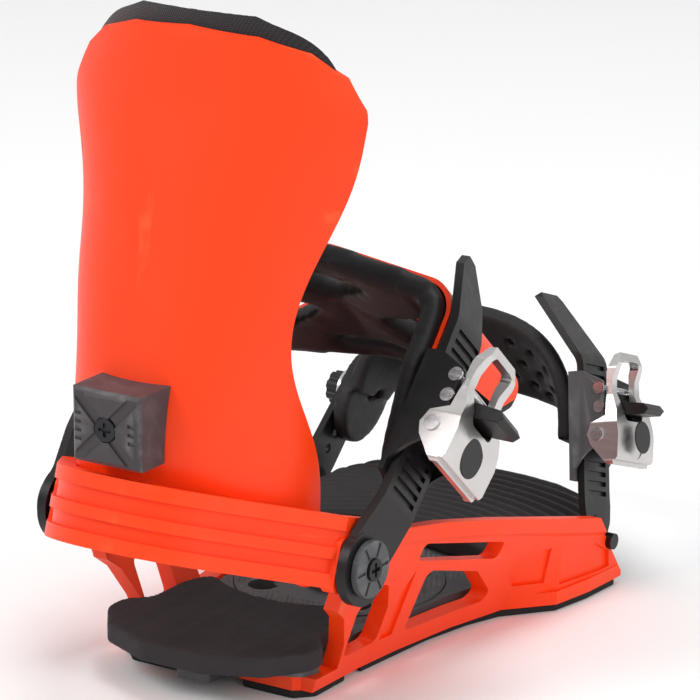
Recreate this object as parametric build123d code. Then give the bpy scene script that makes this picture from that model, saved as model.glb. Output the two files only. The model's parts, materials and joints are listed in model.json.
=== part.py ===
from build123d import *
import math
import os

# Snowboard strap binding. Millimetres, +X towards the buckles, +Y towards the toe, +Z up.
# The origin is the centre of the mounting disc on the plane of the board.

GAP = 0.3                 # gap between neighbouring pieces

# base
BASE_Z0 = 3.0             # underside of the chassis floor, on top of the foam cushions
BASE_Z1 = 8.0             # top of the chassis floor
PLATE_Z1 = 12.0           # top of the drive plate
HEEL_Y = -82.0            # rear end of the floor
FRONT_Y = 82.0            # front end of the rails
DISC_R = 38.5             # flange of the mounting disc
DISC_PLUG_R = 35.0        # plug of the mounting disc
PAD_OPENING_R = 47.0      # round opening between the heel and toe pads
BOLT_SPACING = 40.0       # insert pattern of a board
BOLT_HOLE_R = 3.25

# pivots of the heel side
PIVOT_Y = -82.0
PIVOT_Z = 54.0
HOOP_X = 60.0             # outer face of the hoop at the pivots
HOOP_WALL = 5.0
HOOP_REAR_Y = -142.0
HOOP_CORNER_R = 38.0      # plan radius of the hoop round the heel
HOOP_RISE = 19.0          # degrees that the hoop climbs towards the rear
HOOP_HEIGHT = 25.0
HOOP_RIDGE = 1.8
ARM_X0 = 61.0             # inner face of the strap arms at the pivots
ARM_THICK = 3.6
EYE_R = 13.5
EAR_R = 8.5               # ears of the highback

# side rails
RAIL_WALL = 5.0
RIM_PROUD = 1.5           # raised rim along the top of each rail

# highback
SHELL_WALL = 3.0
PAD_THICK = 7.0
HIGHBACK_TOP = 236.0

# lean block
BLOCK_REAR_Y = -142.5
BLOCK_W = 28.0
BLOCK_H = 26.0
BLOCK_Z = 108.0

# ankle strap
STRAP_TILT = 43.0         # degrees from upright of the strap's arms
STRAP_HALF = 59.0         # half-width over the strap's padding
STRAP_RISE = 107.5        # pivot axis to the outside of the crown, along the arms
STRAP_CORNER_R = 14.0     # shoulders of the strap
STRAP_PAD = 7.5           # padding thickness
LADDER_X0 = 64.2          # inner face of the toothed ladder in the buckle
LADDER_THICK = 3.2
LADDER_HALF = 11.5
TOOTH_PITCH = 3.6
BUCKLE_START = 31.0       # foot of the buckle, along the arm from the pivot

# toe strap
TOE_PIVOT = (62.6, 75.0, 18.5)
TOE_TILT = 20.0           # degrees that the near arm leans towards the toe
TOE_FAR_TILT = 48.0       # degrees that the far arm leans towards the toe
TOE_LEAN = 13.0           # degrees that the ladder leans in over the foot
TOE_LADDER_HALF = 9.5
TOE_EYE_R = 8.5
TOE_BUCKLE_SCALE = 0.86
TOE_BUCKLE_START = 3.0   # foot of the buckle, along the leaning part of the ladder


def box(x0, x1, y0, y1, z0, z1):
    """A box between two corners."""
    centre = ((x0 + x1) / 2, (y0 + y1) / 2, (z0 + z1) / 2)
    return Pos(*centre) * Box(x1 - x0, y1 - y0, z1 - z0)


def rod_x(x0, x1, y, z, radius):
    """A round bar along X."""
    return Pos((x0 + x1) / 2, y, z) * Rot(0, 90, 0) * Cylinder(radius, x1 - x0)


def rod_z(x, y, z0, z1, radius):
    """A round bar along Z."""
    return Pos(x, y, (z0 + z1) / 2) * Cylinder(radius, z1 - z0)


def prism_x(points, x0, x1, radius=0.0):
    """A prism along X with an outline given in (y, z)."""
    face = make_face(Plane.YZ * Polyline(*points, close=True))
    if radius:
        face = fillet(face.vertices(), radius)
    return Pos(x0, 0, 0) * extrude(face, x1 - x0, dir=(1, 0, 0))


def prism_z(points, z0, z1, radius=0.0):
    """A prism along Z with an outline given in (x, y)."""
    face = make_face(Polyline(*points, close=True))
    if radius:
        face = fillet(face.vertices(), radius)
    return Pos(0, 0, z0) * extrude(face, z1 - z0)


def both_sides(shape):
    """A shape and its mirror image across the centre plane."""
    return [shape, mirror(shape, Plane.YZ)]


def mirrored_outline(points):
    """Close an outline given on the +X side by its mirror image."""
    return points + [(-x, y) for x, y in reversed(points)]


# ---------------------------------------------------------------- base

def floor_outline(grow=0.0):
    half = [(34, HEEL_Y), (41, -76), (41, -33), (45, -9), (48, 12), (53, 26), (67, 42), (70, 60), (71, 80)]
    return mirrored_outline([(x + grow, y) for x, y in half])


def chassis_floor():
    floor = prism_z(floor_outline(), BASE_Z0, BASE_Z1)
    floor -= rod_z(0, 0, 0, 20, DISC_PLUG_R + GAP)
    floor -= prism_z([(-12, -90), (12, -90), (12, -70), (-12, -70)], 0, 20)
    return floor


def rail_section(y, x_foot, x_top, z_top, wall):
    """A wall section at one station along the foot, leaning out from the floor to the rail's top."""
    outline = Polyline((x_foot, BASE_Z0), (x_top - RIM_PROUD, z_top - 7), (x_top, z_top - 5.5), (x_top, z_top),
                       (x_top - wall, z_top), (x_top - wall - 1, z_top - 4),
                       (x_foot - wall, BASE_Z1), (x_foot - wall, BASE_Z0), close=True)
    return Plane(origin=(0, y, 0), x_dir=(1, 0, 0), z_dir=(0, -1, 0)) * make_face(outline)


RAIL_STATIONS = [
    # y, x of the foot, x of the top, z of the top
    (-80, 41, 60, 62), (-50, 41.5, 60, 58), (-30, 43, 63.5, 55), (0, 47, 67, 48),
    (26, 53, 69, 41), (44, 66, 70, 36), (66, 70, 71, 30), (FRONT_Y, 71, 72, 27),
]


def rail_face(y, z):
    """How far out the rail's outer face stands at a point."""
    for first, last in zip(RAIL_STATIONS, RAIL_STATIONS[1:]):
        if first[0] <= y <= last[0]:
            share = (y - first[0]) / (last[0] - first[0])
            foot, top, height = [a + (b - a) * share for a, b in zip(first[1:], last[1:])]
            return foot + (top - RIM_PROUD - foot) * (z - BASE_Z0) / (height - 7 - BASE_Z0)
    return 0.0


def rail_recess(stations, depth):
    """Tool for a shallow panel let into the rail's outer face, with its heights at each station."""
    faces = []
    for y, low, high in stations:
        near, far = rail_face(y, low), rail_face(y, high)
        outline = Polyline((near - depth, low), (near + 4, low), (far + 4, high), (far - depth, high), close=True)
        faces.append(Plane(origin=(0, y, 0), x_dir=(1, 0, 0), z_dir=(0, -1, 0)) * make_face(outline))
    return loft(faces, ruled=True)


def side_rail():
    faces = [rail_section(y, foot, top, z, RAIL_WALL) for y, foot, top, z in RAIL_STATIONS]
    rail = loft(faces, ruled=True)
    rail -= rail_recess([(20, 19, 26), (26, 13, 27), (38, 12, 26)], 1.3)
    rail -= rail_recess([(44, 10, 25), (66, 9, 20), (74, 9, 15)], 1.3)
    rail -= rail_recess([(-44, 12, 24), (-37, 12, 38)], 1.2)
    rail -= prism_x([(66, 40), (66, 31), (FRONT_Y, 5), (95, 5), (95, 40)], 40, 80)
    rail -= prism_x([(-100, 45), (-90, 43), (-74, 30), (-68, 18), (-67, 8.2), (-100, 8.2)], 30, 80)
    upper_slot = [(-38, 49), (8, 37), (8, 30), (-38, 42)]
    lower_window = [(-30, 36), (0, 27), (12, 16), (14, 11), (-30, 11)]
    arched_window = [(-66, 12), (-66, 30), (-58, 38), (-50, 36), (-46, 26), (-46, 12)]
    rail -= prism_x(upper_slot, 30, 80, 2)
    rail -= prism_x(lower_window, 30, 80, 3)
    rail -= prism_x(arched_window, 30, 80, 3)
    return rail


def hoop_path(half_width, rear):
    side = math.cos(math.radians(HOOP_RISE))
    depth = (PIVOT_Y - rear) / side
    front = -20.0
    turn = 6.0
    rear_half = 22.0 + (half_width - HOOP_X) / 2
    return [(half_width, front), (half_width, turn), (rear_half, depth), (-rear_half, depth),
            (-half_width, turn), (-half_width, front)]


def hoop_plane(height):
    """The hoop's own tilted plane: x across, y towards the rear, at a height above the pivots' level."""
    rise = math.radians(HOOP_RISE)
    normal = Vector(0, math.sin(rise), math.cos(rise))
    start = Vector(0, PIVOT_Y, PIVOT_Z + 4) + normal * height
    return Plane(origin=start, x_dir=(-1, 0, 0), z_dir=normal)


def hoop_band(grow, z0, z1):
    rear_corner = HOOP_CORNER_R + grow
    outer = make_face(Polyline(*hoop_path(HOOP_X + grow, HOOP_REAR_Y - grow), close=True))
    inner = make_face(Polyline(*hoop_path(HOOP_X - HOOP_WALL, HOOP_REAR_Y + HOOP_WALL), close=True))
    outer = fillet(outer.vertices().sort_by(Axis.Y)[-2:], rear_corner)
    inner = fillet(inner.vertices().sort_by(Axis.Y)[-2:], HOOP_CORNER_R - HOOP_WALL)
    return extrude(hoop_plane(z0) * (outer - inner), z1 - z0, dir=hoop_plane(0).z_dir)


def heel_hoop():
    half = HOOP_HEIGHT / 2
    hoop = hoop_band(0, -half, half)
    hoop += hoop_band(HOOP_RIDGE, -half, -half + 5)
    hoop += hoop_band(HOOP_RIDGE, -2.5, 1.5)
    hoop += hoop_band(HOOP_RIDGE, half - 5, half)
    front_limit = box(-90, 90, PIVOT_Y + 17, 0, 0, 120)
    outside = box(HOOP_X, 90, -96, 0, 0, 120)
    hoop -= front_limit
    for trim in both_sides(outside):
        hoop -= trim
    return hoop


def chassis():
    body = chassis_floor() + heel_hoop()
    for rail in both_sides(side_rail()):
        body += rail
    post = prism_x([(-97, 47), (-64, 47), (-62, 62), (-90, 66)], HOOP_X - HOOP_WALL, HOOP_X, 3)
    for piece in both_sides(post):
        body += piece
    body -= rod_x(-80, 80, PIVOT_Y, PIVOT_Z, 4.2)
    body -= rod_x(-52.5, 52.5, PIVOT_Y, PIVOT_Z, EAR_R + 0.6)
    for x in (-1, 1):
        body -= rod_x(*sorted((x * 50, x * 80)), TOE_PIVOT[1], TOE_PIVOT[2], 3.2)
    return body


def drive_plate():
    """The plate between the floor and the pads, with the pull tab at the heel."""
    outline = [(10, -93), (38, -80), (40, -74), (35, -68), (35, -33), (39.5, -9), (41.7, 8), (46, 26),
               (50, 46), (50, 66)]
    plate = prism_z(mirrored_outline(outline), BASE_Z1 + 0.05, PLATE_Z1, 2)
    plate -= rod_z(0, 0, 0, 20, DISC_R + GAP)
    tab = prism_z([(-7, -94), (7, -94), (9, -70), (-9, -70)], BASE_Z0 + 0.5, BASE_Z1 + 1, 2)
    return plate + tab


def mounting_disc():
    disc = rod_z(0, 0, 0.5, BASE_Z1 + 1, DISC_PLUG_R)
    disc += rod_z(0, 0, BASE_Z1 + GAP, PLATE_Z1 + 0.5, DISC_R)
    disc -= rod_z(0, 0, PLATE_Z1 - 1.0, 20, 24.0) - rod_z(0, 0, 0, 20, 12.0)
    half = BOLT_SPACING / 2
    for x in (-half, half):
        for y in (-half, half):
            disc -= rod_z(x, y, -1, 20, BOLT_HOLE_R)
            disc -= rod_z(x, y, BASE_Z1 - 1, 20, 5.6)
    return disc


def ground_cushions():
    """Foam cushions between the chassis floor and the board: two under the heel, one under each side."""
    heel = prism_z([(12, HEEL_Y), (34, HEEL_Y), (40, -76), (40, -56), (12, -56)], 0, BASE_Z0, 3)
    side = prism_z([(40, -48), (43, -9), (47, 12), (52, 26), (66, 43), (69, 60), (70, 79), (54, 79),
                    (50, 46), (45.5, 20), (41, -5), (37, -46)], 0, BASE_Z0)
    return both_sides(heel), both_sides(side)


def heel_pad():
    outline = [(12, -107), (33, -98), (43, -84), (43, -75), (35.5, -68), (35.5, -50), (32, -38)]
    pad = prism_z(mirrored_outline(outline), PLATE_Z1 + GAP, 20.0, 8)
    pad -= rod_z(0, 0, 0, 30, PAD_OPENING_R)
    return chamfer(pad.faces().sort_by(Axis.Z)[-1].edges(), 1.2)


def toe_pad():
    rear = [(22, 44), (40, 34), (52, 40), (56, 50)]
    front = [(56, 84), (48, 104), (26, 114), (8, 117)]
    lower = prism_z(mirrored_outline([(22, 44), (40, 34), (45, 40), (49, 52), (49, 64)]), PLATE_Z1 + GAP, 16)
    upper = prism_z(mirrored_outline(rear + front), 15.0, 22.0, 8)
    pad = lower + upper
    pad -= rod_z(0, 0, 0, 30, PAD_OPENING_R)
    return chamfer(pad.faces().sort_by(Axis.Z)[-1].edges(), 1.5)


# ---------------------------------------------------------------- heel pivots

def pivot_cap():
    """Grey washer with raised segments, seated on the outside of the strap arm."""
    face = ARM_X0 + ARM_THICK + GAP
    cap = rod_x(face, face + 2.4, PIVOT_Y, PIVOT_Z, 10.0)
    for step in range(6):
        angle = math.radians(60 * step)
        y = PIVOT_Y + 7.0 * math.cos(angle)
        z = PIVOT_Z + 7.0 * math.sin(angle)
        cap -= Pos(face + 2.4, y, z) * Rot(60 * step, 0, 0) * Box(1.4, 5.0, 1.3)
    cap -= rod_x(face - 1, face + 4, PIVOT_Y, PIVOT_Z, 4.05)
    return cap


def pivot_bolt():
    """Bolt with a cross recess, through the cap, the arm, the hoop and the highback's ear."""
    face = ARM_X0 + ARM_THICK + GAP + 2.4
    bolt = rod_x(39.0, face - 1.0, PIVOT_Y, PIVOT_Z, 4.0)
    bolt += rod_x(face - 1.0, face + 1.2, PIVOT_Y, PIVOT_Z, 4.0)
    bolt -= Pos(face + 1.2, PIVOT_Y, PIVOT_Z) * Box(2.4, 5.0, 1.2)
    bolt -= Pos(face + 1.2, PIVOT_Y, PIVOT_Z) * Box(2.4, 1.2, 5.0)
    return bolt


def pivot_nut():
    nut = rod_x(39.2, 42.2, PIVOT_Y, PIVOT_Z, 8.0)
    return nut - rod_x(38, 44, PIVOT_Y, PIVOT_Z, 4.0)


# ---------------------------------------------------------------- highback

SHELL_STATIONS = [
    # z, half-width, y of the side edges, y of the midline at the back
    (38, 43, -78, -126.5),
    (62, 43, -78, -127.5),
    (85, 43.5, -79, -129),
    (106, 44, -88, -129),
    (131, 44, -96.5, -122.5),
    (160, 48.5, -87.5, -113),
    (199, 59, -75, -102),
    (220, 60, -68.5, -97),
    (240, 59, -62, -92),
]


def crescent(z, half, y_edge, y_mid, inset, thickness):
    """A curved wall in plan, its outer face set inside the shell's outer face by the inset."""
    outer_half = half - inset
    inner_half = outer_half - thickness * 0.6
    outer = ThreePointArc((-outer_half, y_edge), (0, y_mid + inset), (outer_half, y_edge))
    inner = ThreePointArc((inner_half, y_edge + 0.8), (0, y_mid + inset + thickness),
                          (-inner_half, y_edge + 0.8))
    ends = [Line((outer_half, y_edge), (inner_half, y_edge + 0.8)),
            Line((-inner_half, y_edge + 0.8), (-outer_half, y_edge))]
    return Pos(0, 0, z) * make_face([outer, ends[0], inner, ends[1]])


def front_trim(points, radius):
    """A prism along Y with a mirrored outline given in (x, z)."""
    face = make_face(Plane.XZ * Polyline(*mirrored_outline(points), close=True))
    if radius:
        face = fillet(face.vertices(), radius)
    return Pos(0, 60, 0) * extrude(face, 300, dir=(0, -1, 0))


def highback_shell():
    sections = [crescent(z, half, edge, mid, 0, SHELL_WALL) for z, half, edge, mid in SHELL_STATIONS]
    shell = loft(sections)
    outline = [(0.5, 70), (22, 68), (40, 56), (44, 44), (58, 40), (62, 60), (70, 150), (63, 196), (59, 209),
               (52, 221), (41, 229), (25, 234), (0.5, HIGHBACK_TOP)]
    shell = shell & front_trim(outline, 0)
    for x in (-1, 1):
        low, high = sorted((x * 42.5, x * 52.0))
        eye = rod_x(low, high, PIVOT_Y, PIVOT_Z, EAR_R)
        shell += eye
        shell -= rod_x(*sorted((x * 36, x * 42.5)), PIVOT_Y, PIVOT_Z, EAR_R)
        shell -= rod_x(*sorted((x * 40, x * 60)), PIVOT_Y, PIVOT_Z, 4.08)
    seat = Pos(0, -129, BLOCK_Z) * Rot(90, 0, 0) * Cylinder(2.6, 30)
    return shell - seat


def highback_pad():
    """Padding on the front of the shell, standing a little above its top edge."""
    inset = SHELL_WALL / 2
    sections = [crescent(z, half, edge + 1, mid, inset, PAD_THICK) for z, half, edge, mid in SHELL_STATIONS]
    wall = loft([crescent(z, half, edge, mid, 0, SHELL_WALL + GAP) for z, half, edge, mid in SHELL_STATIONS])
    outline = [(0.5, 96), (22, 96), (32, 104), (37, 118), (40, 134), (48, 170), (54.5, 198), (53, 212),
               (47, 225), (37, 234), (22, 239.5), (0.5, HIGHBACK_TOP + 5)]
    pad = loft(sections) & front_trim(outline, 0)
    return (pad - wall).solids().sort_by(SortBy.VOLUME)[-1]


# ---------------------------------------------------------------- lean block

def lean_block():
    """Chamfered block with four different depths for its stop faces, held by one screw."""
    rear = BLOCK_REAR_Y
    block = box(-BLOCK_W / 2, BLOCK_W / 2, rear, rear + 30, BLOCK_Z - BLOCK_H / 2, BLOCK_Z + BLOCK_H / 2)
    block = chamfer(block.faces().sort_by(Axis.Y)[0].edges(), 2.0)
    for angle in (45, -45):
        groove = Pos(0, rear, BLOCK_Z) * Rot(0, angle, 0) * Box(44, 1.6, 4.0)
        block -= groove
    marks = [(-1, 4), (1, 3)]
    for side, count in marks:
        for step in range(count):
            z = BLOCK_Z + (step - (count - 1) / 2) * 3.0
            block -= box(*sorted((side * 9.5, side * 12.5)), rear - 1, rear + 0.6, z - 0.6, z + 0.6)
    seat = [crescent(z, half + GAP, edge, mid - GAP, 0, 26) for z, half, edge, mid in SHELL_STATIONS[2:6]]
    block -= loft(seat)
    block = block.solids().sort_by(Axis.Y)[0]
    bore = Pos(0, rear, BLOCK_Z) * Rot(90, 0, 0) * Cylinder(2.3, 60)
    head = Pos(0, rear, BLOCK_Z) * Rot(90, 0, 0) * Cylinder(4.4, 4.0)
    return block - bore - head


def lean_screw():
    rear = BLOCK_REAR_Y
    head = Pos(0, rear + 1.0, BLOCK_Z) * Rot(90, 0, 0) * Cylinder(4.2, 1.9)
    shank = Pos(0, rear + 8.5, BLOCK_Z) * Rot(90, 0, 0) * Cylinder(2.2, 15)
    screw = head + shank
    for angle in (0, 90):
        screw -= Pos(0, rear, BLOCK_Z) * Rot(0, angle, 0) * Box(5.0, 2.0, 1.1)
    return screw


# ---------------------------------------------------------------- ankle strap

def arm_side():
    """Side view of the ankle arms: x up the arm from the pivot, y square to it towards the heel."""
    tilt = math.radians(STRAP_TILT)
    along = Vector(0, math.sin(tilt), math.cos(tilt))
    return Plane(origin=(0, PIVOT_Y, PIVOT_Z), x_dir=along, z_dir=(1, 0, 0))


def arm_front():
    """Front view of the ankle arms: x across the binding, y up the arm."""
    tilt = math.radians(STRAP_TILT)
    return Plane(origin=(0, PIVOT_Y, PIVOT_Z), x_dir=(1, 0, 0),
                 z_dir=(0, -math.cos(tilt), math.sin(tilt)))


def side_prism(points, x0, x1, radius=0.0):
    """A prism along X with an outline in the arms' side view."""
    face = make_face(Polyline(*points, close=True))
    if radius:
        face = fillet(face.vertices(), radius)
    solid = extrude(arm_side() * face, x1 - x0, dir=(1, 0, 0))
    return Pos(x0, 0, 0) * solid


def front_prism(sketch, depth=90.0):
    """A prism square to the arms' front view, the same depth both ways."""
    return extrude(arm_front() * sketch, depth, both=True)


def strip_section(points, thickness, radius):
    """A bent strip seen edge on."""
    path = FilletPolyline(*points, radius=radius)
    return trace(path, thickness)


def ladder_outline():
    return [(-2, -12), (6, -12.5), (24, -LADDER_HALF), (78, -LADDER_HALF), (104, -6), (116, 4), (117, 9),
            (112, 13), (96, 12.5), (74, LADDER_HALF), (24, LADDER_HALF), (6, 12.5), (-2, 12)]


def ankle_ladder():
    """Near arm: pivot eye, smooth root, toothed tongue that leans in over the strap at its tip."""
    eye_x = ARM_X0 + ARM_THICK / 2
    mid = LADDER_X0 + LADDER_THICK / 2
    path = [(eye_x, -14), (eye_x, 8), (mid, 24), (mid, 92), (mid - 9, 122)]
    blade = front_prism(strip_section(path, LADDER_THICK, 12))
    blade = blade & side_prism(ladder_outline(), 40, 90)
    eye = rod_x(ARM_X0, ARM_X0 + ARM_THICK, PIVOT_Y, PIVOT_Z, EYE_R)
    ladder = blade + eye
    face = LADDER_X0 + LADDER_THICK
    for step in range(18):
        along = 26.5 + TOOTH_PITCH * step
        cut = [(along, -8.5), (along + 1.9, -8.5), (along + 1.9, 8.5), (along, 8.5)]
        ladder -= side_prism(cut, face - 1.1, face + 5)
    ladder -= rod_x(50, 80, PIVOT_Y, PIVOT_Z, 4.08)
    return ladder


def ankle_far_arm():
    """Far arm: pivot eye and a plain strap with adjuster holes."""
    eye_x = ARM_X0 + ARM_THICK / 2
    mid = LADDER_X0 + LADDER_THICK / 2
    path = [(-eye_x, -14), (-eye_x, 8), (-mid, 24), (-mid, 90)]
    blade = front_prism(strip_section(path, LADDER_THICK, 12))
    outline = [(-2, -12), (6, -12.5), (24, -11), (74, -10), (82, -6), (82, 6), (74, 10), (24, 11), (6, 12.5),
               (-2, 12)]
    arm = blade & side_prism(outline, -90, -40)
    arm += rod_x(-ARM_X0 - ARM_THICK, -ARM_X0, PIVOT_Y, PIVOT_Z, EYE_R)
    for step in range(4):
        hole = arm_side().location * Pos(22 + 8 * step, 0, -65) * Cylinder(2.3, 30)
        arm -= hole
    arm -= side_prism([(54, -2.8), (79, -2.8), (79, 2.8), (54, 2.8)], -90, -40)
    arm -= rod_x(-80, -50, PIVOT_Y, PIVOT_Z, 4.08)
    return arm


def strap_arch(grow=0.0, thickness=STRAP_PAD):
    """Front view of the strap: upright sides and a broad, slightly domed crown."""
    half = STRAP_HALF + grow
    rise = STRAP_RISE + grow
    top = [(half, 26), (half, rise - 4), (0, rise + 4), (-half, rise - 4), (-half, 26)]
    inner_half = half - thickness
    inner_rise = rise - thickness
    bottom = [(inner_half, 20), (inner_half, inner_rise - 4), (0, inner_rise + 4),
              (-inner_half, inner_rise - 4), (-inner_half, 20)]
    outer = make_face(Polyline(*top, close=True))
    outer = fillet(outer.vertices().sort_by(Axis.Y)[2:4], STRAP_CORNER_R)
    outer = fillet(outer.vertices().sort_by(Axis.Y)[-1:], 60)
    inner = make_face(Polyline(*bottom, close=True))
    inner = fillet(inner.vertices().sort_by(Axis.Y)[2:4], STRAP_CORNER_R - thickness)
    inner = fillet(inner.vertices().sort_by(Axis.Y)[-1:], 60 - thickness)
    return outer - inner


def strap_side_outline(shrink=0.0):
    """Side view of the strap: narrow at the buckle, wide over the instep."""
    return [(33 + shrink, -12), (34 + shrink, -1), (46, 5 - shrink), (70, 12 - shrink), (118, 15 - shrink),
            (118, -66 + shrink), (92, -60 + shrink), (66, -36 + shrink), (46, -22 + shrink)]


def adjuster_bore():
    """Clearance for the screw and nut on the far side of the strap."""
    bore = arm_side().location * Pos(66, 0, -60) * Cylinder(2.5, 24)
    return bore + arm_side().location * Pos(66, 0, -STRAP_HALF + STRAP_PAD) * Cylinder(6.6, 3.2)


def ankle_strap_pad():
    pad = front_prism(strap_arch()) & side_prism(strap_side_outline(), -80, 80, 4)
    windows = [
        [(-24, -2), (22, -2), (0, 14)],
        [(-44, 8), (-12, 26), (-42, 46)],
        [(44, 8), (14, 26), (42, 46)],
        [(-14, 46), (14, 46), (18, 53), (-18, 53)],
    ]
    crown = Plane(origin=arm_front().origin, x_dir=(1, 0, 0), z_dir=arm_side().x_dir)
    for points in windows:
        face = make_face(Polyline(*points, close=True))
        pad -= extrude(crown * fillet(face.vertices(), 2.5), 140)
    return pad - adjuster_bore()


def ankle_strap_overlay():
    """Thin orange outer frame that carries the buckle and lies on the padding."""
    ring = front_prism(strap_arch(1.8, 1.7))
    outline = [(36, -12), (37, -2), (48, 2), (70, 7), (118, 9), (118, -58), (94, -54), (68, -30), (48, -18)]
    overlay = ring & side_prism(outline, -80, 80, 2)
    crown = Plane(origin=arm_front().origin, x_dir=(1, 0, 0), z_dir=arm_side().x_dir)
    windows = [
        [(-30, -4), (30, -4), (0, 16)],
        [(-46, 4), (-8, 24), (-44, 50)],
        [(46, 4), (8, 24), (44, 50)],
        [(-22, 50), (22, 50), (0, 34)],
    ]
    for points in windows:
        face = make_face(Polyline(*points, close=True))
        overlay -= extrude(crown * fillet(face.vertices(), 2.0), 140)
    return overlay - adjuster_bore()


def adjuster_screw():
    """Screw through the strap's far side and the slot of the far arm."""
    axis = arm_side().location * Pos(66, 0, 0)
    outer = LADDER_X0 + LADDER_THICK + GAP
    head = axis * Pos(0, 0, -outer - 1.4) * Cylinder(6.0, 2.8)
    shank = axis * Pos(0, 0, -outer + 5.0) * Cylinder(2.4, 12)
    recess = axis * Pos(0, 0, -outer - 3) * Box(6, 1.4, 2)
    return head + shank - recess


def adjuster_nut():
    axis = arm_side().location * Pos(66, 0, 0)
    inner = STRAP_HALF - STRAP_PAD
    nut = axis * Pos(0, 0, -inner - 0.7) * Cylinder(6.5, 1.6)
    return nut - axis * Pos(0, 0, -60) * Cylinder(2.4, 40)


# ---------------------------------------------------------------- ratchet buckle
# Local frame of a buckle: x out from the ladder's inner face, y along the ladder, z across it.

PIN_X = 12.5              # height of the three cross pins over the ladder
LEVER_PIN_Y = 19.0
LOCK_PIN_Y = 31.0
TOP_PIN_Y = 39.0
BUCKLE_INNER = 12.4       # half the clear width between the side plates
BUCKLE_OUTER = 14.2       # half-width over the side plates
LEVER_OUTER = 16.6        # half-width over the lever's ears
PIN_R = 1.6
LEVER_PIN_R = 2.2


def buckle_base():
    """Floor under the ladder with two upright side plates."""
    base = box(-2.4, -GAP, 0, 47, -BUCKLE_OUTER, BUCKLE_OUTER)
    corner = 1.4
    plate = [(-2.4, 1), (3.0, 8.8), (5.0, 11), (PIN_X - 3.6, LEVER_PIN_Y - 5), (PIN_X + 2.5, LEVER_PIN_Y - 3.4),
             (PIN_X + 2.8, LEVER_PIN_Y + 3), (PIN_X + 1.8, LOCK_PIN_Y), (PIN_X + 1.8, TOP_PIN_Y + 3),
             (4, 47), (-2.4, 47)]
    for z in (-BUCKLE_OUTER, BUCKLE_INNER):
        base += prism_z(plate, z, z + BUCKLE_OUTER - BUCKLE_INNER, corner)
    base -= rod_z(PIN_X, LEVER_PIN_Y, -30, 30, LEVER_PIN_R + 0.04)
    for y in (LOCK_PIN_Y, TOP_PIN_Y):
        base -= rod_z(PIN_X, y, -30, 30, PIN_R)
    return base


def cross_pin(y, radius, reach, head):
    pin = rod_z(PIN_X, y, -reach, reach, radius)
    for sign in (-1, 1):
        pin += rod_z(PIN_X, y, *sorted((sign * reach, sign * (reach + 0.9))), head)
    return pin


def buckle_pins():
    return [cross_pin(LOCK_PIN_Y, PIN_R, BUCKLE_OUTER, 2.6), cross_pin(TOP_PIN_Y, PIN_R, BUCKLE_OUTER, 2.6)]


def lever_pin():
    return cross_pin(LEVER_PIN_Y, LEVER_PIN_R, LEVER_OUTER, 2.9)


def lever_profile():
    return [(PIN_X + 4, 6), (PIN_X + 7.5, 6), (PIN_X + 9.5, 9), (PIN_X + 10.2, 19), (PIN_X + 8.8, 29),
            (PIN_X + 5.4, 37), (PIN_X + 5.6, 43), (PIN_X + 8.0, 50), (PIN_X + 7.2, 54.5), (PIN_X + 4.6, 53.5),
            (PIN_X + 2.6, 46), (PIN_X + 2.6, 40), (PIN_X + 3.4, 27), (PIN_X - 3, LEVER_PIN_Y + 5.0),
            (PIN_X - 5, LEVER_PIN_Y), (PIN_X - 3.4, LEVER_PIN_Y - 4.4)]


def lever():
    """Silver lever: ears on the pin, stepped grip, round body, open finger loop at the top."""
    body = prism_z(lever_profile(), -LEVER_OUTER, LEVER_OUTER)
    across = [(2, -11), (7, -LEVER_OUTER), (24, -LEVER_OUTER), (36, -13), (48, -12), (55, -8), (55, 8),
              (48, 12), (36, 13), (24, LEVER_OUTER), (7, LEVER_OUTER), (2, 11)]
    outline = make_face(Plane(origin=(0, 0, 0), x_dir=(0, 1, 0), z_dir=(1, 0, 0)) * Polyline(*across, close=True))
    outline = fillet(outline.vertices(), 3.0)
    body = body & extrude(outline, 60, dir=(1, 0, 0))
    body -= box(-5, PIN_X + 4.7, 0, 30, -BUCKLE_OUTER - 0.35, BUCKLE_OUTER + 0.35)
    loop = Plane(origin=(0, 0, 0), x_dir=(0, 1, 0), z_dir=(1, 0, 0)) * (Pos(38, 0) * RectangleRounded(26, 16.4, 3))
    body -= extrude(loop, 60, dir=(1, 0, 0))
    for step, x in enumerate((8.4, 7.0)):
        y = 5.0 + 0.9 * step
        body -= box(PIN_X + x, PIN_X + 20, y - 5, y + 2.4 - 0.6 * step, -30, 30)
    body -= rod_x(PIN_X + 9.3, PIN_X + 30, 15.5, 0, 7.0)
    body -= rod_z(PIN_X, LEVER_PIN_Y, -30, 30, LEVER_PIN_R)
    return body


def lever_badge():
    """Plain dark disc let into the lever."""
    return rod_x(PIN_X + 9.3, PIN_X + 9.9, 15.5, 0, 7.0)


def drive_pawl():
    """Steel pawl on the lever's pin that pushes the ladder's teeth."""
    outline = [(PIN_X - 7.6, LEVER_PIN_Y + 2.5), (PIN_X - 6, LEVER_PIN_Y + 0.5), (PIN_X - 3.0, LEVER_PIN_Y - 2.6),
               (PIN_X + 2.6, LEVER_PIN_Y - 3.0), (PIN_X + 3.2, LEVER_PIN_Y + 2.5), (PIN_X - 3, LEVER_PIN_Y + 4.6)]
    pawl = prism_z(outline, -8, 8)
    return pawl - rod_z(PIN_X, LEVER_PIN_Y, -30, 30, LEVER_PIN_R)


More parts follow.
